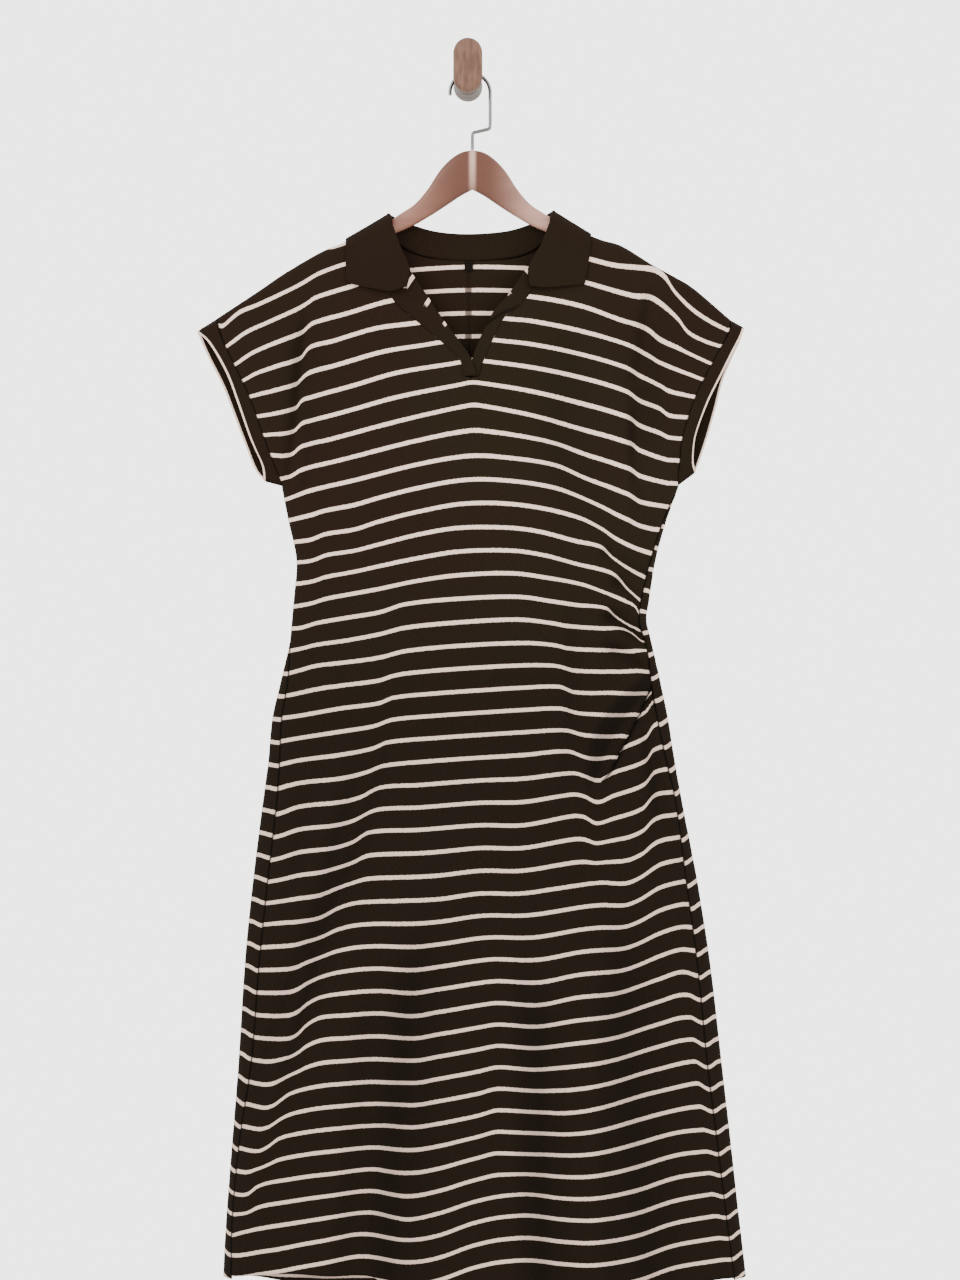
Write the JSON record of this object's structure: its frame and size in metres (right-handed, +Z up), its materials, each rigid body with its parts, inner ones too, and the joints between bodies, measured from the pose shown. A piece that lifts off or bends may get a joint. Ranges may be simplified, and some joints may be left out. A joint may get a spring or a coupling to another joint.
{
  "type": "midi dress on a wooden hanger and wall peg",
  "caption": "Knitted polo midi dress with cap sleeves and an open neck slit, hanging flat on a wooden hanger whose wire hook rests on a wooden wall peg.",
  "frame": {"origin": "centre of the peg's back face, on the wall plane", "axes": "+Y into the wall, +Z up, +X to the viewer's right; the front of the dress faces -Y"},
  "size_m": [0.6067, 0.0612, 1.3827],
  "materials": {
    "striped_knit": "dark brown fine knit with cream cross stripes",
    "rib": "dark brown rib knit, cream line on the armhole edges",
    "tab": "bare dark woven tab",
    "hanger_wood": "reddish brown, semi-gloss lacquer",
    "hook_wire": "polished wire",
    "peg_wood": "reddish grey-brown, satin"
  },
  "bodies": {
    "root": {"front_panel": "striped_knit", "back_left": "striped_knit", "back_right": "striped_knit", "armhole_band_left": "rib", "armhole_band_right": "rib", "placket_left": "rib", "placket_right": "rib", "collar": "rib", "neck_label": "tab", "hanger_body": "hanger_wood", "hanger_hook": "hook_wire", "wall_peg": "peg_wood"}
  },
  "joints": []
}
